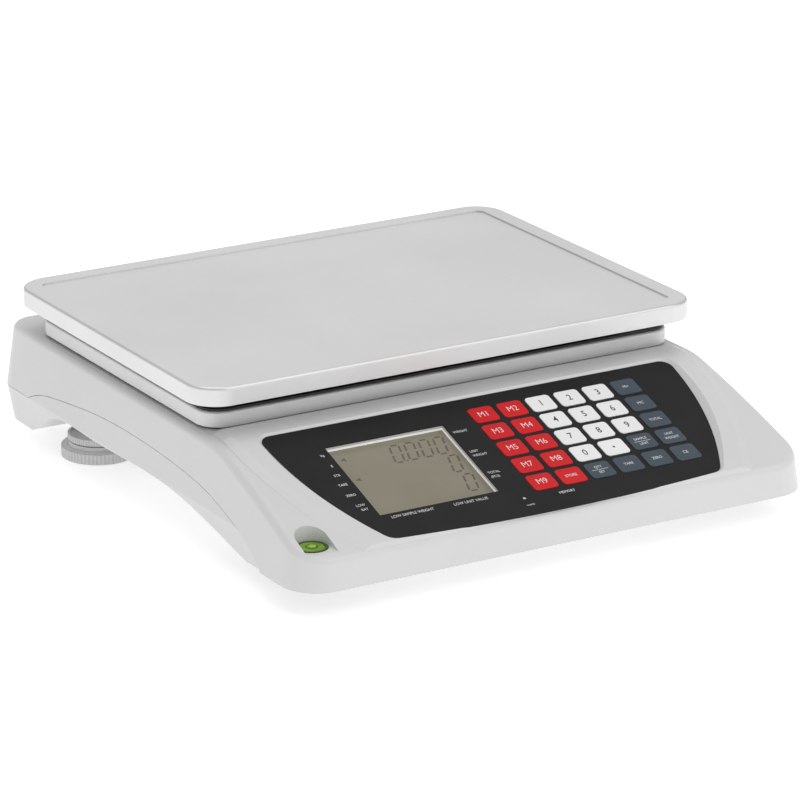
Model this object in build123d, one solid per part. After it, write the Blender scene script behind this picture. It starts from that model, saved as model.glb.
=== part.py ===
from build123d import *
import os
from math import cos, radians, sin, sqrt, tan

# Counting scale, millimetres. +Z is up, the keypad faces -Y, and the origin
# is on the table under the middle of the scale.

# Case
CASE_WIDTH = 335.0
CASE_FRONT = -188.3
CASE_BACK = 190.7
CASE_CORNER = 22.0
CASE_FOOT_Z = 15.0          # lower edge of the front fascia
CASE_DRAFT = 8.0            # side walls lean inwards going up
HEEL_DRAFT = 10.0           # and inwards going down, below the rear seam
SEAM_REAR_Z = 31.0
SEAM_GAP = 0.3
WALL = 2.5
DECK_Z = 69.0
SHOULDER_RADIUS = 5.0
BELLY_Z = 29.0              # underside of the case between the feet
HEEL_Z = 9.0                # lowest edge of the case, at the back

# Sloping front deck, as heights on the centre plane
DECK_BREAK = (-79.4, DECK_Z)
DECK_MIDDLE = (-140.0, 50.5)
DECK_FRONT = (-196.0, 28.4)
PAD_RISE = 2.4              # raised pad round the control panel
PAD_SLOPE = 6.0             # width of the slope down each long side
PAD_STEP = 0.2              # height left at the foot of that slope
PAD_MARGIN = 19.0           # pad past the panel, all round

# Control panel, a flat plane sunk in the pad
PANEL_ORIGIN = (0.0, -101.7, 62.7)
PANEL_TILT = 18.7
PANEL_SIDE = ((135.9, 18.9), (129.7, -30.0), (107.4, -84.4))
PANEL_FRONT_BOW = 4.2
OVERLAY_THICK = 0.5
PANEL_FLOOR = 1.6

# Keys
KEY_COLUMNS = 6
KEY_ROWS = 5
KEY_X0 = 1.0
KEY_V0 = 2.0
KEY_PITCH_X = 19.18
KEY_PITCH_V = 16.32
KEY_WIDTH = 15.9
KEY_HEIGHT = 13.5
KEY_CORNER = 2.4
KEY_PROUD = 0.35
KEY_TRAVEL = 0.5
KEY_CLEARANCE = 0.25
KEY_FLANGE = 0.8            # flange past the cap, all round
KEY_NAMES = (
    ("key_m1", "key_m2", "key_1", "key_2", "key_3", "key_m_plus"),
    ("key_m3", "key_m4", "key_4", "key_5", "key_6", "key_mc"),
    ("key_m5", "key_m6", "key_7", "key_8", "key_9", "key_total"),
    ("key_m7", "key_m8", "key_0", "key_point", "key_sample", "key_unit_weight"),
    ("key_m9", "key_store", "key_quantity", "key_tare", "key_zero", "key_clear"),
)

# Display window, in panel coordinates (x, distance up the slope)
LCD_LEFT = -103.2
LCD_RIGHT = -27.2
LCD_TOP = 0.0
LCD_BOTTOM = -63.7
LCD_DEPTH = 3.5
LED_AT = (-16.4, -73.4)
LED_RADIUS = 1.1

# Weighing platform
PAN_WIDTH = 330.0
PAN_DEPTH = 237.0
PAN_Y = 43.9
PAN_TOP = 98.0
PAN_SKIRT = 11.0
PAN_CORNER = 19.4
PAN_SHEET = 1.2
PAN_BORDER = 12.2
PAN_SUNK = 0.8
TRAY_WIDTH = 310.6
TRAY_DEPTH = 213.6
TRAY_TOP = 79.3
TRAY_BOTTOM = 70.4
TRAY_CORNER = 14.5
TRAY_SHEET = 1.5

# Feet
FOOT_FRONT = (112.0, -114.0)
FOOT_REAR = (134.5, 113.8)
FOOT_RADIUS = 22.5
LOCK_RADIUS = 18.5
STUD_RADIUS = 4.0
RUNNING_GAP = 0.05

PANEL = Plane(
    origin=PANEL_ORIGIN,
    x_dir=(1, 0, 0),
    z_dir=(0, -sin(radians(PANEL_TILT)), cos(radians(PANEL_TILT))),
)


def on_panel(x, v, depth=0.0):
    """Location at x across, v up the slope and depth off the panel plane."""
    return PANEL.location * Pos(x, v, depth)


def box(x0, x1, y0, y1, z0, z1):
    centre = Pos((x0 + x1) / 2, (y0 + y1) / 2, (z0 + z1) / 2)
    return centre * Box(x1 - x0, y1 - y0, z1 - z0)


def post(x, y, z0, z1, radius):
    return Pos(x, y, (z0 + z1) / 2) * Cylinder(radius, z1 - z0)


def across(outline, half_width=200.0):
    """Sweep a side-view outline, drawn as (y, z), across the whole case."""
    return extrude(Plane.YZ * outline, amount=half_width, both=True)


# ---------------------------------------------------------------- case shape


def case_plan(inset, z):
    width = CASE_WIDTH - 2 * inset
    depth = CASE_BACK - CASE_FRONT - 2 * inset
    corner = max(CASE_CORNER - inset, 4.0)
    middle = (CASE_BACK + CASE_FRONT) / 2
    return Pos(0, middle, z) * RectangleRounded(width, depth, corner)


def case_upper_block(inset=0.0, z0=CASE_FOOT_Z):
    """Drafted block that leans in going up from the front fascia's edge."""
    start = inset - (CASE_FOOT_Z - z0) * tan(radians(CASE_DRAFT))
    return extrude(case_plan(start, z0), amount=80 - z0, taper=CASE_DRAFT)


def case_lower_block(inset=0.0):
    """Drafted block that leans in going down from the rear seam."""
    start = inset + (SEAM_REAR_Z - CASE_FOOT_Z) * tan(radians(CASE_DRAFT))
    plan = case_plan(start, SEAM_REAR_Z)
    return extrude(plan, amount=-28, taper=HEEL_DRAFT)


def deck_outline(shift=0.0):
    """Everything under the deck's side profile, lifted by shift."""
    y_break, z_break = DECK_BREAK
    points = [(y, z + shift) for y, z in (DECK_BREAK, DECK_MIDDLE, DECK_FRONT)]
    slope = ThreePointArc(*points)
    front_y, front_z = points[2]
    rest = Polyline(
        (front_y, front_z), (-205, front_z - 4), (-205, -5), (205, -5),
        (205, z_break + shift), (y_break, z_break + shift),
    )
    face = make_face(slope + rest)
    corner = face.vertices().sort_by_distance((y_break, z_break + shift, 0))[0]
    return fillet(corner, 60)


def seam_outline(shift=0.0):
    """Everything under the side seam; the upper shell covers the rest."""
    points = [
        (-144.5, 14.0), (-124.0, 26.5), (-107.0, 32.7), (-79.0, 40.0),
        (-43.7, 44.3), (10.0, 46.5), (54.0, 45.6), (106.0, 40.5),
        (132.7, 35.8), (146.0, SEAM_REAR_Z - 0.6),
    ]
    curve = Spline(*[(y, z + shift) for y, z in points])
    rest = Polyline(
        (points[-1][0], points[-1][1] + shift), (149.5, SEAM_REAR_Z + shift),
        (205, SEAM_REAR_Z + shift), (205, -8), (-144.5, -8),
        (-144.5, points[0][1] + shift),
    )
    return make_face(curve + rest)


def underside_outline():
    """Everything over the case's lower edge: heel, side arch, front skirt."""
    points = [
        (148.0, HEEL_Z), (134.0, 15.5), (118.0, 25.0), (70.0, 29.4),
        (10.0, 30.6), (-45.0, 28.4), (-82.0, 21.0), (-118.0, 12.0),
    ]
    curve = Spline(*points)
    rest = Polyline(
        points[-1], (-150, 13.5), (-205, 13.5), (-205, 110), (205, 110),
        (205, HEEL_Z), points[0],
    )
    return make_face(curve + rest)


def floor_outline():
    """Everything over the inside of the case's floor."""
    inside = BELLY_Z + WALL
    low = HEEL_Z + WALL
    return make_face(Polyline(
        (205, low), (149, low), (121, inside), (-205, inside), (-205, 110),
        (205, 110), (205, low),
    ))


# ------------------------------------------------------------- panel outline


def bowed_outline(grow, top, front_corner):
    """Outline with bowed sides that close in towards a bowed front edge."""
    x, low = PANEL_SIDE[-1]
    side = ThreePointArc(*PANEL_SIDE)
    front = ThreePointArc((x, low), (0, low - PANEL_FRONT_BOW), (-x, low))
    face = Pos(0, top - 150) * Rectangle(600, 300)
    for arc, flip in ((side, 1), (side, -1), (front, 1)):
        centre = arc.arc_center
        face &= Pos(flip * centre.X, centre.Y) * Circle(arc.radius + grow)
    return fillet(face.vertices().group_by(Axis.Y)[0], front_corner)


def overlay_outline(grow=0.0):
    """Outline of the control panel."""
    face = bowed_outline(grow, PANEL_SIDE[0][1] + grow, 8 + grow)
    return fillet(face.vertices().group_by(Axis.Y)[-1], 7 + grow)


def pad_outline():
    """The raised pad reaches back under the platform."""
    return bowed_outline(PAD_MARGIN, 36, 8 + PAD_MARGIN)


def key_centre(column, row):
    return KEY_X0 + column * KEY_PITCH_X, KEY_V0 - row * KEY_PITCH_V


def key_places(depth=0.0):
    return [
        on_panel(*key_centre(column, row), depth)
        for row in range(KEY_ROWS)
        for column in range(KEY_COLUMNS)
    ]


def lcd_block(grow, d0, d1):
    width = LCD_RIGHT - LCD_LEFT + 2 * grow
    height = LCD_TOP - LCD_BOTTOM + 2 * grow
    centre = on_panel((LCD_LEFT + LCD_RIGHT) / 2, (LCD_TOP + LCD_BOTTOM) / 2, (d0 + d1) / 2)
    return centre * Box(width, height, d1 - d0)


# ------------------------------------------------------------------- housings

LEVEL_AT = (-149.5, -168.0)
LEVEL_FLOOR = 32.5
LEVEL_RADIUS = 8.6
RISER_AT = (52.0, PAN_Y)
CELL_Z = 38.5
CELL_HEIGHT = 22.0
CELL_BOLTS = (-62.0, -46.0)
TRAY_BOLTS = (46.0, 58.0)
BOLT_RADIUS = 2.5
BOLT_FIT = 2.6
STOP_RADIUS = 2.5
STUD_FIT = 2.55
PAD_Z = 95.0
BATTERY_Z = 31.7
CHARGER_Z = 40.0
CHARGER_POSTS = ((78, 128), (126, 128), (78, 156), (126, 156))
SCREW_PLACES = ((-138, 163), (138, 163), (-146, 20), (146, 20), (-140, -140), (140, -140))
SCREW_SPLIT = 40.0
SCREW_HEAD_Z = 34.0
STOP_PLACES = ((-118, PAN_Y - 72), (118, PAN_Y - 72), (-118, PAN_Y + 72), (118, PAN_Y + 72))
FOOT_NAMES = {
    "foot_front_left": (-FOOT_FRONT[0], FOOT_FRONT[1]),
    "foot_front_right": FOOT_FRONT,
    "foot_rear_left": (-FOOT_REAR[0], FOOT_REAR[1]),
    "foot_rear_right": FOOT_REAR,
}
FOOT_PLACES = tuple(FOOT_NAMES.values())
FOOT_BOSS_Z = 14.4
STUD_TOP = 42.0
SWITCH_AT = (84.0, 52.0)
SOCKET_AT = (116.0, 52.0)
SOCKET_RADIUS = 4.0
REAR_BAY_Y = 182.0
BOARD_TOP = -4.6
BOARD_THICK = 1.6
BOARD_LEFT = -118.0
BOARD_RIGHT = 115.0
BOARD_BACK = 13.0
BOARD_FRONT = -77.0
BOARD_POSTS = ((-113, 8), (-113, -70), (-16, 8), (-16, -55), (111, 8), (111, -70))


def circle_height(arc, at, grow=0.0):
    """Second coordinate of the arc's circle, grown, where the first is at."""
    centre = arc.arc_center
    return centre.Y + sqrt((arc.radius + grow) ** 2 - (at - centre.X) ** 2)


def pad_slopes():
    """Everything under the slopes that run down the pad's two long sides."""
    deck = ThreePointArc(DECK_BREAK, DECK_MIDDLE, DECK_FRONT)
    bow = ThreePointArc(*[(v, x) for x, v in PANEL_SIDE])
    fall = (PAD_RISE - PAD_STEP) / PAD_SLOPE
    crest = []
    for y in range(-205, -49, 6):
        v = (y - PANEL_ORIGIN[1]) / cos(radians(PANEL_TILT))
        edge = circle_height(bow, v, PAD_MARGIN - PAD_SLOPE)
        height = circle_height(deck, min(y, DECK_BREAK[0])) + PAD_RISE
        crest.append((y, height + fall * edge))
    outline = Polyline(*crest, (-49, -50), (-205, -50), close=True)
    half = extrude(Plane.YZ * make_face(outline), amount=240, dir=(1, 0, -fall))
    return half + mirror(half, about=Plane.YZ)


def panel_pad():
    """Raised pad: its sides slope down to the deck, its front edge is rounded."""
    pad = extrude(PANEL * pad_outline(), amount=25, both=True)
    pad &= across(deck_outline(PAD_RISE))
    pad &= case_upper_block(1.2)
    top = pad.faces().filter_by(lambda f: f.normal_at().Z > 0.5).sort_by(SortBy.AREA)[-1]
    pad = fillet(top.edges().sort_by(Axis.Y)[0], 1.6)
    return pad & pad_slopes()


def panel_recess():
    """Sunk area: upright for the overlay, then walls that lean outwards."""
    lean = 6.9
    rise = 6.0
    pocket = extrude(PANEL * overlay_outline(0.15), amount=-OVERLAY_THICK)
    walls = loft([
        PANEL * overlay_outline(0.15),
        PANEL.offset(rise) * overlay_outline(lean),
    ], ruled=True)
    return pocket + walls


def key_windows(depth, clearance):
    window = RectangleRounded(
        KEY_WIDTH + 2 * clearance, KEY_HEIGHT + 2 * clearance, KEY_CORNER + clearance
    )
    return [extrude(place * window, amount=-depth) for place in key_places()]


def screw_post(x, y):
    """Post under the deck with a pilot hole for a case screw."""
    return post(x, y, SCREW_SPLIT + SEAM_GAP, DECK_Z, 4.5)


def upper_housing():
    outer = case_upper_block() & across(deck_outline())
    rim = [
        edge for edge in outer.edges()
        if edge.center().Z > CASE_FOOT_Z + 8 and edge.bounding_box().size.Z < 60
    ]
    outer = fillet(rim, SHOULDER_RADIUS)
    outer += panel_pad()
    inner = case_upper_block(WALL, CASE_FOOT_Z - 2) & across(deck_outline(-2.6))
    shell = outer - inner
    under_floor = PANEL.offset(-OVERLAY_THICK - PANEL_FLOOR)
    shell += extrude(under_floor * overlay_outline(9.0), amount=PANEL_FLOOR + 4) & outer
    shell -= extrude(under_floor * overlay_outline(-3.0), amount=-14)

    inside = [post(*LEVEL_AT, LEVEL_FLOOR - 2.0, DECK_Z, 12.5)]
    inside += [screw_post(x, y) for x, y in SCREW_PLACES]
    inside += [post(x, y, 58, DECK_Z, 5.0) for x, y in STOP_PLACES]
    inside += [on_panel(x, v, BOARD_TOP / 2) * Cylinder(2.5, -BOARD_TOP) for x, v in BOARD_POSTS]
    inside += [box(67.5, 132.5, REAR_BAY_Y - WALL, REAR_BAY_Y + 5, 39.5, 64.5)]
    for solid in inside:
        shell += solid & outer

    shell -= panel_recess()
    shell -= key_windows(4, KEY_CLEARANCE)
    shell -= lcd_block(0.15, -5, 1)
    shell -= on_panel(*LED_AT) * Cylinder(LED_RADIUS + 0.1, 12)
    shell -= post(*LEVEL_AT, LEVEL_FLOOR, DECK_Z, 9.4)
    x, y = LEVEL_AT
    shell -= box(x - 9.4, x + 9.4, y - 14, y, LEVEL_FLOOR + 2.2, DECK_Z)
    x, y = RISER_AT
    shell -= box(x - 17, x + 17, y - 20, y + 20, DECK_Z - 8, DECK_Z + 8)
    shell -= [post(x, y, 50, DECK_Z + 4, STUD_FIT) for x, y in STOP_PLACES]
    shell -= [post(x, y, SCREW_SPLIT - 2, SCREW_SPLIT + 6.5, 1.6) for x, y in SCREW_PLACES]
    shell -= box(70, 130, REAR_BAY_Y, 200, 42, 62)
    x, z = SWITCH_AT
    shell -= box(x - 9.5, x + 9.5, 170, 200, z - 6.5, z + 6.5)
    x, z = SOCKET_AT
    shell -= Pos(x, 185, z) * Rot(90, 0, 0) * Cylinder(SOCKET_RADIUS + RUNNING_GAP, 20)
    shell -= across(seam_outline())
    return shell


def lower_housing():
    def block(inset):
        top = case_upper_block(inset) & box(-200, 200, -200, 200, SEAM_REAR_Z, 60)
        return top + case_lower_block(inset)

    shape = block(0.0) & across(seam_outline(-SEAM_GAP)) & across(underside_outline())
    belly = block(4.0) & box(-200, 200, -200, 75, 0, BELLY_Z)
    shell = shape - belly - (block(WALL) & across(floor_outline()))

    front = case_upper_block(WALL + 0.5) & box(-200, 200, -200, -105, BELLY_Z, BELLY_Z + WALL)
    shell += front & across(deck_outline(-3.1))
    x, y = LEVEL_AT
    shell -= box(-200, x + 13.2, -200, y + 13.2, 20, 40)

    inside = block(WALL - 0.5)
    for x, y in SCREW_PLACES:
        low = HEEL_Z if y > 100 else BELLY_Z
        shell += post(x, y, low, SCREW_SPLIT, 6.0)
    for x, y in FOOT_PLACES:
        shell += post(x, y, FOOT_BOSS_Z, 45, 7.0)
    shell += box(-70, -36, PAN_Y - 15, PAN_Y + 15, BELLY_Z, CELL_Z)
    ribs = [box(x - 1.5, x + 1.5, 120, 180, HEEL_Z, BATTERY_Z) for x in (-55, 0, 55)]
    ribs += [post(x, y, HEEL_Z + 1, CHARGER_Z, 3.0) for x, y in CHARGER_POSTS]
    for rib in ribs:
        shell += rib & inside & across(underside_outline())

    shell -= [post(x, y, 0, 60, STUD_RADIUS + RUNNING_GAP) for x, y in FOOT_PLACES]
    for x, y in SCREW_PLACES:
        shell -= post(x, y, 0, SCREW_HEAD_Z, 4.2)
        shell -= post(x, y, 0, 60, 1.8)
    for x in CELL_BOLTS:
        shell -= post(x, PAN_Y, 0, 60, BOLT_FIT)
        shell -= post(x, PAN_Y, 0, BELLY_Z + 5, 5.0)
    return shell


def housing_screws():
    def screw(x, y):
        head = post(x, y, SCREW_HEAD_Z - 2.5, SCREW_HEAD_Z, 3.5)
        cross = Pos(x, y, SCREW_HEAD_Z - 2.5) * (Box(4.0, 0.9, 2.4) + Box(0.9, 4.0, 2.4))
        return head - cross + post(x, y, SCREW_HEAD_Z, SCREW_SPLIT + 6, 1.55)

    return Compound([screw(x, y) for x, y in SCREW_PLACES])


# -------------------------------------------------------------- control panel


def panel_overlay():
    sheet = extrude(PANEL.offset(-OVERLAY_THICK) * overlay_outline(), amount=OVERLAY_THICK)
    sheet -= key_windows(2, KEY_CLEARANCE)
    sheet -= lcd_block(0, -2, 2)
    return sheet - on_panel(*LED_AT) * Cylinder(LED_RADIUS + 0.1, 3)


def key_cap(place):
    """Cap flush with the overlay, flange under the panel floor and a plunger."""
    foot = -OVERLAY_THICK - PANEL_FLOOR - 0.05
    cap = extrude(RectangleRounded(KEY_WIDTH, KEY_HEIGHT, KEY_CORNER), amount=KEY_PROUD - foot)
    cap = fillet(cap.edges().group_by(Axis.Z)[-1], 0.22)
    wide = RectangleRounded(
        KEY_WIDTH + 2 * KEY_FLANGE, KEY_HEIGHT + 2 * KEY_FLANGE, KEY_CORNER + KEY_FLANGE
    )
    flange = extrude(wide, amount=-0.7)
    plunger = Pos(0, 0, -0.95) * Cylinder(2.0, 0.5)
    return place * Pos(0, 0, foot) * (cap + flange + plunger)


def key_domes():
    """One snap dome on the board under each key."""
    dome = Pos(0, 0, BOARD_TOP + 0.3) * Cone(4.0, 2.6, 0.6)
    return Compound([place * dome for place in key_places()])


def main_board():
    width = BOARD_RIGHT - BOARD_LEFT
    height = BOARD_BACK - BOARD_FRONT
    centre = on_panel(
        (BOARD_RIGHT + BOARD_LEFT) / 2, (BOARD_BACK + BOARD_FRONT) / 2,
        BOARD_TOP - BOARD_THICK / 2,
    )
    return centre * Box(width, height, BOARD_THICK) - lcd_block(3.4, -12, 0)


def lcd_frame():
    """White frame whose inner walls show above the display glass."""
    top = -OVERLAY_THICK - PANEL_FLOOR - 0.02
    return lcd_block(3.0, -9.6, top) - lcd_block(0.1, -9.0, 0)


def lcd_glass():
    return lcd_block(0.05, -6.3, -LCD_DEPTH)


def lcd_backlight():
    return lcd_block(0.05, -9.0, -6.35)


def status_led():
    length = -BOARD_TOP - 0.3
    body = Cylinder(LED_RADIUS - 0.05, length, align=(Align.CENTER, Align.CENTER, Align.MIN))
    body = fillet(body.edges().group_by(Axis.Z)[-1], 0.7)
    return on_panel(*LED_AT, BOARD_TOP) * body


# --------------------------------------------------------------- bubble level


def level_cup():
    x, y = LEVEL_AT
    cup = post(x, y, LEVEL_FLOOR, LEVEL_FLOOR + 2.6, LEVEL_RADIUS)
    return cup - post(x, y, LEVEL_FLOOR + 0.8, LEVEL_FLOOR + 5, LEVEL_RADIUS - 1.1)


def level_vial():
    x, y = LEVEL_AT
    vial = post(x, y, LEVEL_FLOOR + 0.8, LEVEL_FLOOR + 2.5, LEVEL_RADIUS - 1.2)
    return fillet(vial.edges().group_by(Axis.Z)[-1], 0.5)


# ----------------------------------------------------------- weighing platform


def platform_plate(width, depth, corner, z0, z1):
    return extrude(Pos(0, PAN_Y, z0) * RectangleRounded(width, depth, corner), amount=z1 - z0)


def weighing_pan():
    border = 2 * PAN_BORDER
    pan = platform_plate(PAN_WIDTH, PAN_DEPTH, PAN_CORNER, PAN_TOP - PAN_SKIRT, PAN_TOP)
    pan = fillet(pan.edges().group_by(Axis.Z)[-1], 1.8)
    sheet = 2 * PAN_SHEET
    pan -= platform_plate(
        PAN_WIDTH - sheet, PAN_DEPTH - sheet, PAN_CORNER - PAN_SHEET,
        0, PAN_TOP - PAN_SHEET - PAN_SUNK,
    )
    ring = platform_plate(
        PAN_WIDTH - sheet, PAN_DEPTH - sheet, PAN_CORNER - PAN_SHEET,
        PAN_TOP - PAN_SHEET - PAN_SUNK, PAN_TOP - PAN_SHEET,
    )
    field = platform_plate(PAN_WIDTH - border, PAN_DEPTH - border, 4.5, 0, PAN_TOP + 5)
    pan -= ring - field
    sunk = platform_plate(
        PAN_WIDTH - border, PAN_DEPTH - border, 4.5, PAN_TOP - PAN_SUNK, PAN_TOP + 1
    )
    return pan - sunk


def pan_tray():
    tray = platform_plate(TRAY_WIDTH, TRAY_DEPTH, TRAY_CORNER, TRAY_BOTTOM, TRAY_TOP)
    tray = fillet(tray.edges().group_by(Axis.Z)[-1], 1.5)
    sheet = 2 * TRAY_SHEET
    tray -= platform_plate(
        TRAY_WIDTH - sheet, TRAY_DEPTH - sheet, TRAY_CORNER - TRAY_SHEET,
        0, TRAY_TOP - TRAY_SHEET,
    )
    return tray - [post(x, PAN_Y, 60, 90, BOLT_FIT) for x in TRAY_BOLTS]


def tray_support():
    """Black moulding that lines the tray and carries the pan."""
    flange = platform_plate(
        TRAY_WIDTH - 3.4, TRAY_DEPTH - 3.4, TRAY_CORNER - 1.7, TRAY_TOP, TRAY_TOP + 1.2
    )
    flange -= platform_plate(200, 120, 8, 0, 100)
    table = platform_plate(272, 176, 10, TRAY_TOP, PAD_Z)
    table -= platform_plate(266, 170, 8, 0, PAD_Z - 2.5)
    ribs = [box(-134, 134, PAN_Y + y - 1.5, PAN_Y + y + 1.5, TRAY_TOP + 4, PAD_Z) for y in (-45, 45)]
    return flange + table + ribs


def pan_rest_pads():
    places = [(x, PAN_Y + y) for x in (-118, 0, 118) for y in (-72, 72)]
    return Compound([post(x, y, PAD_Z, PAN_TOP - PAN_SHEET - PAN_SUNK, 9.0) for x, y in places])


def load_cell_riser():
    x, y = RISER_AT
    block = box(x - 13, x + 13, y - 15, y + 15, CELL_Z + CELL_HEIGHT, TRAY_TOP - TRAY_SHEET)
    return block - [post(x, PAN_Y, 50, 90, BOLT_FIT) for x in TRAY_BOLTS]


def tray_bolts():
    return Compound([
        post(x, PAN_Y, TRAY_TOP, TRAY_TOP + 3.0, 4.4)
        - extrude(Pos(x, PAN_Y, TRAY_TOP + 1) * RegularPolygon(2.3, 6), amount=5)
        + post(x, PAN_Y, CELL_Z + 6, TRAY_TOP, BOLT_RADIUS)
        for x in TRAY_BOLTS
    ])


def load_cell():
    """Aluminium beam with two joined holes that make the thin flexing walls."""
    beam = box(-70, 70, PAN_Y - 15, PAN_Y + 15, CELL_Z, CELL_Z + CELL_HEIGHT)
    middle = CELL_Z + CELL_HEIGHT / 2
    for x in (-11, 11):
        beam -= Pos(x, PAN_Y, middle) * Rot(90, 0, 0) * Cylinder(8.5, 40)
    beam -= box(-11, 11, PAN_Y - 20, PAN_Y + 20, middle - 3, middle + 3)
    return beam - [post(x, PAN_Y, 30, 70, BOLT_FIT) for x in CELL_BOLTS + TRAY_BOLTS]


def load_cell_bolts():
    return Compound([
        post(x, PAN_Y, BELLY_Z + 1, BELLY_Z + 5, 4.4)
        - extrude(Pos(x, PAN_Y, BELLY_Z) * RegularPolygon(2.3, 6), amount=3)
        + post(x, PAN_Y, BELLY_Z + 5, CELL_Z + 16, BOLT_RADIUS)
        for x in CELL_BOLTS
    ])


def overload_stop_screws():
    """Set screws with lock nuts that stop the tray 0.6 mm down."""
    top = TRAY_TOP - TRAY_SHEET - 0.6
    nut = RegularPolygon(4.6, 6) - Circle(STUD_FIT)
    return Compound([
        post(x, y, 59, top, STOP_RADIUS)
        - extrude(Pos(x, y, top - 2.5) * RegularPolygon(1.4, 6), amount=4)
        + extrude(Pos(x, y, DECK_Z) * (nut + Circle(STOP_RADIUS)), amount=2.6)
        for x, y in STOP_PLACES
    ])


# ------------------------------------------------------- feet, power, battery


def knurled(radius, count, groove, z0, z1):
    step = 360 / count
    teeth = [
        Pos(radius * cos(radians(i * step)), radius * sin(radians(i * step))) * Circle(groove)
        for i in range(count)
    ]
    return extrude(Pos(0, 0, z0) * (Circle(radius) - teeth), amount=z1 - z0)


def levelling_foot(x, y):
    """Knurled foot and its threaded stud, and the lock ring on the stud."""
    disc = knurled(FOOT_RADIUS, 60, 0.62, 0, 6.2)
    disc += Pos(0, 0, 6.6) * Cone(FOOT_RADIUS - 1.1, LOCK_RADIUS + 0.6, 0.8)
    disc += post(0, 0, 6.9, 9.4, LOCK_RADIUS - 0.3)
    disc += post(0, 0, 9.0, 10.1, LOCK_RADIUS - 3.0)
    disc += post(0, 0, 9.0, STUD_TOP, STUD_RADIUS)
    ring = knurled(LOCK_RADIUS, 72, 0.42, 10.2, 13.8)
    ring -= post(0, 0, 12.9, 20, LOCK_RADIUS - 1.6)
    ring -= post(0, 0, 5, 20, STUD_RADIUS + RUNNING_GAP)
    return Compound([Pos(x, y) * disc, Pos(x, y) * ring])


def power_switch_body():
    x, z = SWITCH_AT
    body = box(x - 11, x + 11, REAR_BAY_Y, REAR_BAY_Y + 1.4, z - 7.6, z + 7.6)
    body += box(x - 9.4, x + 9.4, 166, REAR_BAY_Y, z - 6.4, z + 6.4)
    body -= box(x - 8.2, x + 8.2, REAR_BAY_Y - 6, 190, z - 5.1, z + 5.1)
    return body - Pos(x, REAR_BAY_Y - 1, z) * Cylinder(0.85, 12)


def power_rocker():
    """Shallow V of a rocker, resting with its off side pressed in."""
    x, z = SWITCH_AT
    shape = make_face(Polyline((-7, -2), (7, -2), (7, 3.6), (0, 2.2), (-7, 3.6), (-7, -2)))
    rocker = extrude(shape, amount=4.9, both=True) + Cylinder(0.8, 11.6)
    return Pos(x, REAR_BAY_Y - 1, z) * Rot(0, 0, -10) * rocker


def dc_socket():
    """Barrel inlet for the mains adaptor."""
    x, z = SOCKET_AT
    turn = Rot(-90, 0, 0)
    low = Align.MIN
    place = Pos(x, 168, z) * turn
    barrel = Cylinder(SOCKET_RADIUS, 15, align=(Align.CENTER, Align.CENTER, low))
    barrel += Pos(0, 0, 14) * Cylinder(5.6, 2.2, align=(Align.CENTER, Align.CENTER, low))
    barrel -= Pos(0, 0, 6) * Cylinder(2.75, 20, align=(Align.CENTER, Align.CENTER, low))
    barrel += Pos(0, 0, 4) * Cylinder(1.0, 10.5, align=(Align.CENTER, Align.CENTER, low))
    return place * barrel


def charger_board():
    return box(74, 130, 124, 160, CHARGER_Z, CHARGER_Z + 1.6)


def battery():
    cell = box(-67, 67, 119.5, 179.5, BATTERY_Z + 0.1, BATTERY_Z + 34)
    return cell + [box(x - 2.4, x + 2.4, 116, 119.5, 58, 58.8) for x in (-55, 55)]


NODES = {
    "weighing_pan": weighing_pan,
    "pan_tray": pan_tray,
    "tray_support": tray_support,
    "pan_rest_pads": pan_rest_pads,
    "load_cell_riser": load_cell_riser,
    "tray_bolts": tray_bolts,
    "load_cell": load_cell,
    "load_cell_bolts": load_cell_bolts,
    "overload_stop_screws": overload_stop_screws,
    "upper_housing": upper_housing,
    "lower_housing": lower_housing,
    "housing_screws": housing_screws,
    "panel_overlay": panel_overlay,
    "key_domes": key_domes,
    "main_board": main_board,
    "lcd_frame": lcd_frame,
    "lcd_glass": lcd_glass,
    "lcd_backlight": lcd_backlight,
    "status_led": status_led,
    "level_cup": level_cup,
    "level_vial": level_vial,
    "power_switch_body": power_switch_body,
    "power_rocker": power_rocker,
    "dc_socket": dc_socket,
    "charger_board": charger_board,
    "battery": battery,
}


def save(shape, name):
    export_step(shape, f"parts/{name}.step")


os.makedirs("parts", exist_ok=True)
for name, make in NODES.items():
    save(make(), name)
for name, (x, y) in FOOT_NAMES.items():
    save(levelling_foot(x, y), name)
for row in range(KEY_ROWS):
    for column in range(KEY_COLUMNS):
        place = on_panel(*key_centre(column, row))
        save(key_cap(place), KEY_NAMES[row][column])
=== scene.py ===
from math import cos, pi, radians, sin

import bmesh
import bpy
from mathutils import Matrix, Vector


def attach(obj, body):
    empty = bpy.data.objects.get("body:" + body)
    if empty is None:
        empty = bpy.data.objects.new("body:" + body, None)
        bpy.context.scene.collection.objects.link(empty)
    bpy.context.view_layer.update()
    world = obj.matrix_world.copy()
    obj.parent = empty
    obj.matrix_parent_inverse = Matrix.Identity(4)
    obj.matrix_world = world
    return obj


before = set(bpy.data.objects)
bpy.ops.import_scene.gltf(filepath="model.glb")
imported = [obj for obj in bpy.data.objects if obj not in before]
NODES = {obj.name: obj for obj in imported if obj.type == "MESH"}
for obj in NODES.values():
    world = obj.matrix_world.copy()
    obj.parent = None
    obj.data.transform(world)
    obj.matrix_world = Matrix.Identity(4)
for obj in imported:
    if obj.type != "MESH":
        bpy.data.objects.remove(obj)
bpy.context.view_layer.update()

MM = 0.001

# Control panel plane, as in the CAD
PANEL_ORIGIN = Vector((0.0, -101.7, 62.7)) * MM
PANEL_TILT = radians(18.7)
KEY_X0, KEY_V0 = 1.0, 2.0
KEY_PITCH_X, KEY_PITCH_V = 19.18, 16.32
KEY_TOP = 0.35
GLASS_TOP = -3.5
LEVEL_AT = (-149.5, -168.0, 35.0)

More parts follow.
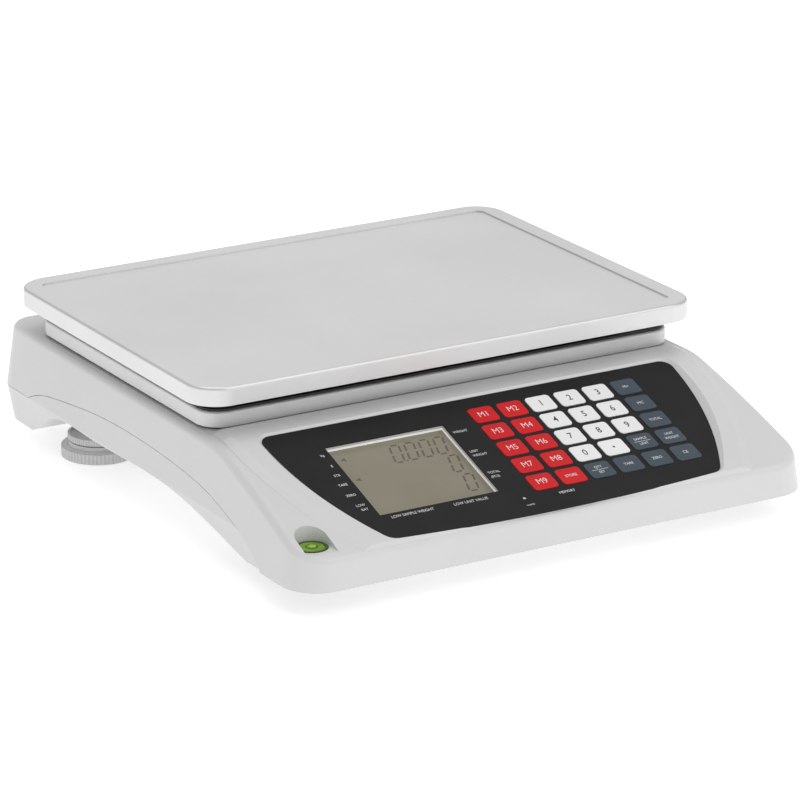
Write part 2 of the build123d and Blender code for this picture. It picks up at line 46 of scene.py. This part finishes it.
# Print: gap over its surface, thickness, and a capital's share of the font size
PRINT_GAP = 0.012
PRINT_THICK = 0.012
PLATE_THICK = 0.03
CAPITAL_SHARE = 0.73
SMALL_CAPITAL = 2.1
SMALL_WIDTH = 0.86

# Display: slant and half width of a segment, its gap over the glass and its thickness
SEGMENT_SLANT = 0.25
SEGMENT_HALF = 0.62
SEGMENT_GAP = 0.005
SEGMENT_THICK = 0.02
DIGIT_WIDTH = 5.9
DIGIT_PITCH = 9.4
MARKER = (3.4, 1.7)

# Studio
FLOOR_Z = -0.0003
FLOOR_HALF = 6
FLOOR_GLOW = 0.44
WORLD_LIGHT = 0.62
LIGHT_TARGET = (0, 0, 0.05)
CAMERA_AT = (-1.2443, -2.1072, 0.8752)
CAMERA_TURN = (71.22, 0, -30.67)
CAMERA_LENS = 199.27

KEYS = (
    (("key_m1", "M1"), ("key_m2", "M2"), ("key_1", "1"), ("key_2", "2"), ("key_3", "3"),
     ("key_m_plus", "M+")),
    (("key_m3", "M3"), ("key_m4", "M4"), ("key_4", "4"), ("key_5", "5"), ("key_6", "6"),
     ("key_mc", "MC")),
    (("key_m5", "M5"), ("key_m6", "M6"), ("key_7", "7"), ("key_8", "8"), ("key_9", "9"),
     ("key_total", "TOTAL")),
    (("key_m7", "M7"), ("key_m8", "M8"), ("key_0", "0"), ("key_point", "."),
     ("key_sample", "SAMPLE|UNIT"), ("key_unit_weight", "UNIT\nWEIGHT")),
    (("key_m9", "M9"), ("key_store", "STORE"), ("key_quantity", "QTY|SET"), ("key_tare", "TARE"),
     ("key_zero", "ZERO"), ("key_clear", "CE")),
)

# ------------------------------------------------------------------ materials


def link(tree, source, target):
    tree.links.new(source, target)


def coordinates(tree, scale):
    """Object coordinates, stretched by scale on each axis."""
    place = tree.nodes.new("ShaderNodeTexCoord")
    mapping = tree.nodes.new("ShaderNodeMapping")
    mapping.inputs["Scale"].default_value = scale
    link(tree, place.outputs["Object"], mapping.inputs["Vector"])
    return mapping.outputs["Vector"]


def noise(tree, vector, scale, detail=3.0):
    node = tree.nodes.new("ShaderNodeTexNoise")
    node.inputs["Scale"].default_value = scale
    node.inputs["Detail"].default_value = detail
    link(tree, vector, node.inputs["Vector"])
    return node.outputs["Fac"]


def between(tree, factor, low, high):
    """Map a noise value, mostly 0.35 to 0.65, onto low..high."""
    node = tree.nodes.new("ShaderNodeMapRange")
    node.inputs["From Min"].default_value = 0.35
    node.inputs["From Max"].default_value = 0.65
    node.inputs["To Min"].default_value = low
    node.inputs["To Max"].default_value = high
    link(tree, factor, node.inputs["Value"])
    return node.outputs["Result"]


def blend_colours(tree, factor, first, second):
    node = tree.nodes.new("ShaderNodeValToRGB")
    node.color_ramp.elements[0].position = 0.35
    node.color_ramp.elements[0].color = (*first, 1)
    node.color_ramp.elements[1].position = 0.65
    node.color_ramp.elements[1].color = (*second, 1)
    link(tree, factor, node.inputs["Fac"])
    return node.outputs["Color"]


def surface(name, colours, rough, grain, bump, patch=14.0, stretch=(1, 1, 1), **sockets):
    """Shader with mottled colour and roughness, and a fine grain bump.

    grain is the texture's scale per metre and bump its height in millimetres."""
    mat = bpy.data.materials.new(name)
    mat.use_nodes = True
    tree = mat.node_tree
    shader = tree.nodes["Principled BSDF"]
    for socket, value in sockets.items():
        shader.inputs[socket.replace("_", " ")].default_value = value
    vector = coordinates(tree, stretch)
    plain = coordinates(tree, (1, 1, 1))
    wide = noise(tree, plain, patch)
    fine = noise(tree, vector, grain, 4.0)
    link(tree, blend_colours(tree, wide, *colours), shader.inputs["Base Color"])
    link(tree, between(tree, fine, *rough), shader.inputs["Roughness"])
    height = tree.nodes.new("ShaderNodeBump")
    height.inputs["Strength"].default_value = 1.0
    height.inputs["Distance"].default_value = bump * MM
    link(tree, fine, height.inputs["Height"])
    link(tree, height.outputs["Normal"], shader.inputs["Normal"])
    return mat


def grey(value, warm=0.0):
    return (value + warm, value, value - warm)


ABS = surface(
    "abs_light_grey", (grey(0.665, 0.001), grey(0.685, 0.001)), (0.32, 0.40), 1400, 0.006,
    Coat_Weight=0.12, Coat_Roughness=0.18,
)
FOOT = surface(
    "foot_plastic", (grey(0.60), grey(0.65)), (0.38, 0.5), 1800, 0.008,
)
PAN = surface(
    "pan_brushed_steel", (grey(0.69), grey(0.73)), (0.32, 0.44), 330, 0.006, patch=9,
    stretch=(0.5, 12, 12), Metallic=0.92,
)
TRAY = surface(
    "tray_satin_steel", (grey(0.70), grey(0.74)), (0.42, 0.52), 300, 0.004, patch=11,
    stretch=(1, 8, 8), Metallic=0.35,
)
BLACK = surface("black_plastic", (grey(0.010), grey(0.016)), (0.45, 0.6), 1600, 0.01)
RUBBER = surface("black_rubber", (grey(0.012), grey(0.02)), (0.7, 0.85), 2200, 0.02)
ALLOY = surface(
    "machined_aluminium", (grey(0.70), grey(0.75)), (0.3, 0.42), 400, 0.004,
    stretch=(10, 1, 1), Metallic=1.0,
)
ZINC = surface(
    "zinc_plated_steel", (grey(0.52), grey(0.62)), (0.25, 0.4), 900, 0.004, Metallic=1.0,
)
BOARD = surface(
    "solder_mask", ((0.008, 0.085, 0.03), (0.012, 0.11, 0.04)), (0.3, 0.45), 1500, 0.01,
)
FILM = surface(
    "panel_film", (grey(0.0095), grey(0.0125)), (0.40, 0.50), 3200, 0.010, patch=30,
    Specular_IOR_Level=0.16,
)
GLASS = surface(
    "lcd_glass", ((0.250, 0.227, 0.166), (0.272, 0.247, 0.184)), (0.12, 0.20), 600, 0.001,
    patch=22, Specular_IOR_Level=0.35,
)
# The LCD frame glows faintly (emission 0.22). This is painted light that keeps the shaded walls of its
# pocket white, though the frame is no lamp.
FRAME_WITH_PAINTED_GLOW = surface(
    "lcd_frame", (grey(0.93), grey(0.95)), (0.4, 0.5), 1500, 0.006,
    Emission_Color=(1, 0.99, 0.96, 1), Emission_Strength=0.22,
)
DIFFUSER = surface("lcd_diffuser", ((0.5, 0.47, 0.38), (0.56, 0.53, 0.44)), (0.5, 0.6), 900, 0.01)
SEGMENT = surface("lcd_segment", ((0.105, 0.095, 0.072), (0.125, 0.112, 0.085)), (0.2, 0.3), 900, 0.001)
# Pale lens colour. It is partly the lens's own white and partly painted glow of the lit lamp, raised to
# brighten it in its recess; it has no emission.
LED_LENS_PAINTED_GLOW = surface("led_lens", ((0.80, 0.79, 0.78), (0.86, 0.85, 0.84)), (0.1, 0.18), 1200, 0.002)
RING = surface("level_ring", ((0.055, 0.10, 0.010), (0.075, 0.13, 0.015)), (0.3, 0.4), 1500, 0.004)
FLUID = surface(
    "level_fluid", ((0.11, 0.25, 0.002), (0.20, 0.39, 0.006)), (0.05, 0.1), 700, 0.001,
    patch=120, Specular_IOR_Level=0.3,
)
BUBBLE = surface("level_bubble", ((0.30, 0.50, 0.05), (0.38, 0.60, 0.08)), (0.05, 0.1), 900, 0.001)
MARK = surface("level_mark", (grey(0.015), grey(0.025)), (0.3, 0.4), 900, 0.001)
CASE = surface("battery_case", (grey(0.03), grey(0.045)), (0.45, 0.6), 1500, 0.01)
RED = surface(
    "key_red", ((0.60, 0.006, 0.010), (0.67, 0.010, 0.014)), (0.36, 0.46), 2600, 0.010,
    Specular_IOR_Level=0.2,
)
WHITE = surface("key_white", (grey(0.83), grey(0.88)), (0.36, 0.46), 2600, 0.010)
SLATE = surface(
    "key_slate", ((0.052, 0.070, 0.092), (0.062, 0.082, 0.108)), (0.36, 0.46), 2600, 0.010,
    Specular_IOR_Level=0.2,
)
PRINT_PALE = surface("print_pale", (grey(0.70), grey(0.78)), (0.45, 0.55), 2600, 0.002)
PRINT_WHITE = surface("print_white", (grey(0.74), grey(0.82)), (0.45, 0.55), 2600, 0.002)
PRINT_DARK = surface("print_dark", (grey(0.012), grey(0.02)), (0.45, 0.55), 2600, 0.002)

LOOKS = {
    "upper_housing": ABS, "lower_housing": ABS,
    "foot_front_left": FOOT, "foot_front_right": FOOT, "foot_rear_left": FOOT,
    "foot_rear_right": FOOT,
    "weighing_pan": PAN, "pan_tray": TRAY,
    "tray_support": BLACK, "power_switch_body": BLACK, "power_rocker": BLACK,
    "dc_socket": BLACK, "pan_rest_pads": RUBBER,
    "load_cell": ALLOY, "load_cell_riser": ALLOY,
    "tray_bolts": ZINC, "load_cell_bolts": ZINC, "overload_stop_screws": ZINC,
    "housing_screws": ZINC, "key_domes": ZINC,
    "main_board": BOARD, "charger_board": BOARD,
    "panel_overlay": FILM, "lcd_glass": GLASS, "lcd_frame": FRAME_WITH_PAINTED_GLOW,
    "lcd_backlight": DIFFUSER, "status_led": LED_LENS_PAINTED_GLOW,
    "level_cup": RING, "level_vial": FLUID, "battery": CASE,
}


def key_look(column, name):
    if column < 2:
        return RED, PRINT_WHITE
    if name[4:].isdigit() or name == "key_point":
        return WHITE, PRINT_DARK
    return SLATE, PRINT_PALE


def paint(node, mat):
    node.data.materials.clear()
    node.data.materials.append(mat)


for name, mat in LOOKS.items():
    paint(NODES[name], mat)
for row in KEYS:
    for column, (name, _) in enumerate(row):
        paint(NODES[name], key_look(column, name)[0])

# --------------------------------------------------------------------- pieces


def on_panel(x, v, depth=0.0):
    """Matrix of a place on the panel plane; x, v and depth in millimetres."""
    turn = Matrix.Rotation(PANEL_TILT, 4, "X")
    return Matrix.Translation(PANEL_ORIGIN) @ turn @ Matrix.Translation(Vector((x, v, depth)) * MM)


def as_piece(name, mesh, mat, body):
    """Visible piece that moves with a body."""
    obj = bpy.data.objects.new(name, mesh)
    bpy.context.scene.collection.objects.link(obj)
    paint(obj, mat)
    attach(obj, body)


def lettering(text, height, matrix, align="CENTER", width=1.0, weight=0.0):
    """Mesh of thin raised print; height is the capital's, in millimetres."""
    curve = bpy.data.curves.new("lettering", "FONT")
    curve.body = text
    curve.size = height * MM / CAPITAL_SHARE
    curve.align_x = align
    curve.align_y = "CENTER"
    curve.extrude = PRINT_THICK * MM
    curve.offset = weight * MM
    curve.space_line = 0.8
    curve.resolution_u = 4
    obj = bpy.data.objects.new("lettering", curve)
    bpy.context.scene.collection.objects.link(obj)
    graph = bpy.context.evaluated_depsgraph_get()
    mesh = bpy.data.meshes.new_from_object(obj.evaluated_get(graph))
    bpy.data.objects.remove(obj)
    bpy.data.curves.remove(curve)
    mesh.transform(matrix @ Matrix.Diagonal((width, 1, 1, 1)))
    return mesh


def joined(name, meshes):
    """One mesh from several, which are used up."""
    whole = bmesh.new()
    for mesh in meshes:
        whole.from_mesh(mesh)
        bpy.data.meshes.remove(mesh)
    out = bpy.data.meshes.new(name)
    whole.to_mesh(out)
    whole.free()
    return out


def finished(name, shape, matrix, smooth=False):
    """Mesh of a bmesh, put in its place."""
    mesh = bpy.data.meshes.new(name)
    shape.to_mesh(mesh)
    shape.free()
    mesh.transform(matrix)
    for face in mesh.polygons:
        face.use_smooth = smooth
    return mesh


def plate(points, matrix, thick=PLATE_THICK):
    """Thin prism over a flat outline given in millimetres."""
    shape = bmesh.new()
    ring = [shape.verts.new(Vector((x, v, 0)) * MM) for x, v in points]
    face = shape.faces.new(ring)
    grown = bmesh.ops.extrude_face_region(shape, geom=[face])
    top = [part for part in grown["geom"] if isinstance(part, bmesh.types.BMVert)]
    bmesh.ops.translate(shape, verts=top, vec=(0, 0, thick * MM))
    bmesh.ops.recalc_face_normals(shape, faces=shape.faces)
    return finished("plate", shape, matrix)


def bar(x0, x1, v0, v1, matrix, thick=PLATE_THICK):
    return plate(((x0, v0), (x1, v0), (x1, v1), (x0, v1)), matrix, thick)


def two_lines(lines, rise, matrix):
    """Small print, one line above the middle and one below it."""
    return [
        lettering(line, SMALL_CAPITAL, matrix @ Matrix.Translation((0, v * MM, 0)), width=SMALL_WIDTH)
        for line, v in zip(lines, (rise, -rise))
    ]


def key_legend(text, matrix):
    """Meshes of one key's legend: big, two lines, or split by a bar."""
    if "|" in text:
        return two_lines(text.split("|"), 2.3, matrix) + [bar(-5.2, 5.2, -0.14, 0.14, matrix)]
    if "\n" in text:
        return two_lines(text.split("\n"), 1.9, matrix)
    if text == ".":
        dot = [(0.75 * cos(a * pi / 8), 0.75 * sin(a * pi / 8)) for a in range(16)]
        return [plate(dot, matrix)]
    if len(text) > 2:
        return [lettering(text, 2.2, matrix, width=SMALL_WIDTH)]
    if text in ("CE", "MC", "M+"):
        return [lettering(text, 2.4, matrix, width=0.9)]
    if text.isdigit():
        return [lettering(text, 5.2, matrix, width=0.82, weight=0.06)]
    return [lettering(text, 4.8, matrix, width=0.86, weight=-0.06)]


for row, entries in enumerate(KEYS):
    for column, (name, text) in enumerate(entries):
        x = KEY_X0 + column * KEY_PITCH_X
        v = KEY_V0 - row * KEY_PITCH_V
        place = on_panel(x, v, KEY_TOP + PRINT_GAP)
        mesh = joined("legend_" + name, key_legend(text, place))
        as_piece("legend_" + name, mesh, key_look(column, name)[1], name)

# Word, place on the panel, capital's height and alignment
PANEL_WORDS = (
    ("kg", -107.0, -6.0, 2.1, "RIGHT"), ("g", -107.0, -15.6, 2.1, "RIGHT"),
    ("STB", -107.0, -24.8, 2.0, "RIGHT"), ("TARE", -107.0, -33.4, 2.0, "RIGHT"),
    ("ZERO", -107.0, -43.0, 2.0, "RIGHT"), ("LOW", -106.6, -52.6, 2.0, "RIGHT"),
    ("BAT", -106.6, -56.6, 2.0, "RIGHT"),
    ("WEIGHT", -25.0, -8.2, 2.0, "LEFT"), ("UNIT", -25.0, -27.0, 2.0, "LEFT"),
    ("WEIGHT", -25.0, -30.8, 2.0, "LEFT"), ("TOTAL", -25.0, -47.4, 2.0, "LEFT"),
    ("(PCS)", -25.0, -51.2, 2.0, "LEFT"),
    ("LOW SAMPLE WEIGHT", -84.6, -67.2, 2.2, "CENTER"),
    ("LOW UNIT VALUE", -47.6, -67.4, 2.2, "CENTER"),
    ("MEMORY", 10.4, -75.3, 2.1, "CENTER"), ("CHARGE", -16.2, -80.0, 1.1, "CENTER"),
)
words = [
    lettering(text, height, on_panel(x, v, PRINT_GAP), align, width=0.88)
    for text, x, v, height, align in PANEL_WORDS
]
as_piece("panel_legends", joined("panel_legends", words), PRINT_PALE, "base")

# The six lit segments of a nought, each (x0, v0)-(x1, v1) on a unit cell
SEGMENTS = (
    ((0.13, 1.0), (0.87, 1.0)), ((1.0, 0.95), (1.0, 0.55)), ((1.0, 0.45), (1.0, 0.05)),
    ((0.13, 0.0), (0.87, 0.0)), ((0.0, 0.45), (0.0, 0.05)), ((0.0, 0.95), (0.0, 0.55)),
)
ON_GLASS = on_panel(0, 0, GLASS_TOP + SEGMENT_GAP)


def zero_digit(x, v, height):
    """Segments of a nought, slanted to the right, with its lower left corner at x, v."""
    slant = SEGMENT_SLANT * height
    made = []
    for (x0, v0), (x1, v1) in SEGMENTS:
        start = Vector((x + x0 * DIGIT_WIDTH + slant * v0, v + v0 * height))
        end = Vector((x + x1 * DIGIT_WIDTH + slant * v1, v + v1 * height))
        along = (end - start).normalized()
        side = Vector((-along.y, along.x)) * SEGMENT_HALF
        tip = along * SEGMENT_HALF
        outline = (
            start, start + tip + side, end - tip + side, end, end - tip - side, start + tip - side,
        )
        made.append(plate([tuple(p) for p in outline], ON_GLASS, SEGMENT_THICK))
    return made


def marker(x, v):
    """Arrow that points left at the words beside the display."""
    length, half = MARKER
    outline = ((x, v), (x + length, v - half), (x + length, v + half))
    return plate(outline, ON_GLASS, SEGMENT_THICK)


segments = []
for index in range(4):
    segments += zero_digit(-68.1 + index * DIGIT_PITCH, -20.0, 14.8)
segments += zero_digit(-39.9, -37.2, 14.4)
segments += zero_digit(-40.3, -55.0, 14.4)
segments.append(bar(-61.0, -59.9, -20.4, -19.3, ON_GLASS, SEGMENT_THICK))
segments += [marker(-97.7, -9.0), marker(-98.2, -27.7)]
as_piece("lcd_segments", joined("lcd_segments", segments), SEGMENT, "base")


def ring_mesh(radius, tube, flat, matrix, turns=64, sides=12):
    """Torus, squashed along its axis by flat."""
    shape = bmesh.new()
    rows = []
    for i in range(turns):
        a = 2 * pi * i / turns
        rows.append([
            shape.verts.new(Vector((
                (radius + tube * cos(b)) * cos(a), (radius + tube * cos(b)) * sin(a),
                flat * tube * sin(b),
            )) * MM)
            for b in (2 * pi * j / sides for j in range(sides))
        ])
    for i in range(turns):
        for j in range(sides):
            following = (i + 1) % turns
            across = (j + 1) % sides
            shape.faces.new((
                rows[i][j], rows[following][j], rows[following][across], rows[i][across],
            ))
    return finished("ring", shape, matrix, smooth=True)


def dome_mesh(radius, height, matrix, turns=32, rings=8):
    """Shallow dome, for the bubble under the vial's lens."""
    shape = bmesh.new()
    rows = []
    for k in range(rings):
        r = radius * cos(k * pi / 2 / rings)
        z = height * sin(k * pi / 2 / rings)
        rows.append([
            shape.verts.new(Vector((r * cos(a), r * sin(a), z)) * MM)
            for a in (2 * pi * i / turns for i in range(turns))
        ])
    top = shape.verts.new(Vector((0, 0, height)) * MM)
    for low, high in zip(rows, rows[1:]):
        for i in range(turns):
            j = (i + 1) % turns
            shape.faces.new((low[i], low[j], high[j], high[i]))
    for i in range(turns):
        shape.faces.new((rows[-1][i], rows[-1][(i + 1) % turns], top))
    shape.faces.new(list(reversed(rows[0])))
    return finished("dome", shape, matrix, smooth=True)


level = Matrix.Translation(Vector(LEVEL_AT) * MM)
as_piece("level_circle", ring_mesh(3.1, 0.34, 0.3, level), MARK, "base")
bubble_at = level @ Matrix.Translation(Vector((0.7, 0.5, 0.0)) * MM)
as_piece("level_bubble", dome_mesh(2.3, 0.35, bubble_at), BUBBLE, "base")

# ---------------------------------------------------------------------- stage

PAPER = surface(
    "floor_paper", (grey(0.88), grey(0.90)), (0.8, 0.9), 300, 0.01,
    Emission_Color=(1, 1, 1, 1), Emission_Strength=FLOOR_GLOW,
)
shape = bmesh.new()
shape.faces.new([
    shape.verts.new((x * FLOOR_HALF, y * FLOOR_HALF, FLOOR_Z))
    for x, y in ((-1, -1), (1, -1), (1, 1), (-1, 1))
])
floor_mesh = finished("floor", shape, Matrix.Identity(4))
floor_mesh.materials.append(PAPER)
floor = bpy.data.objects.new("floor", floor_mesh)
bpy.context.scene.collection.objects.link(floor)

bpy.context.scene.view_settings.view_transform = "Standard"
world = bpy.data.worlds.new("studio")
bpy.context.scene.world = world
world.use_nodes = True
background = world.node_tree.nodes["Background"]
background.inputs["Color"].default_value = (1, 1, 1, 1)
background.inputs["Strength"].default_value = WORLD_LIGHT


def softbox(name, location, size, power):
    """Rectangular area light, aimed at the object."""
    lamp = bpy.data.lights.new(name, "AREA")
    lamp.shape = "RECTANGLE"
    lamp.size, lamp.size_y = size
    lamp.energy = power
    obj = bpy.data.objects.new(name, lamp)
    obj.location = location
    aim = Vector(LIGHT_TARGET) - Vector(location)
    obj.rotation_euler = aim.to_track_quat("-Z", "Y").to_euler()
    bpy.context.scene.collection.objects.link(obj)


softbox("key_light", (0.8, -1.5, 1.8), (2.0, 1.5), 10)
softbox("front_light", (1.8, -1.8, 0.7), (2.8, 1.3), 4)
softbox("back_light", (1.2, 2.2, 1.4), (2.4, 1.4), 3.5)
softbox("top_light", (-0.2, 0.4, 2.3), (2.2, 1.6), 10)

lens = bpy.data.cameras.new("camera")
lens.lens = CAMERA_LENS
lens.sensor_width = 36
lens.clip_end = 50
camera = bpy.data.objects.new("camera", lens)
camera.location = CAMERA_AT
camera.rotation_euler = [radians(angle) for angle in CAMERA_TURN]
bpy.context.scene.collection.objects.link(camera)
bpy.context.scene.camera = camera
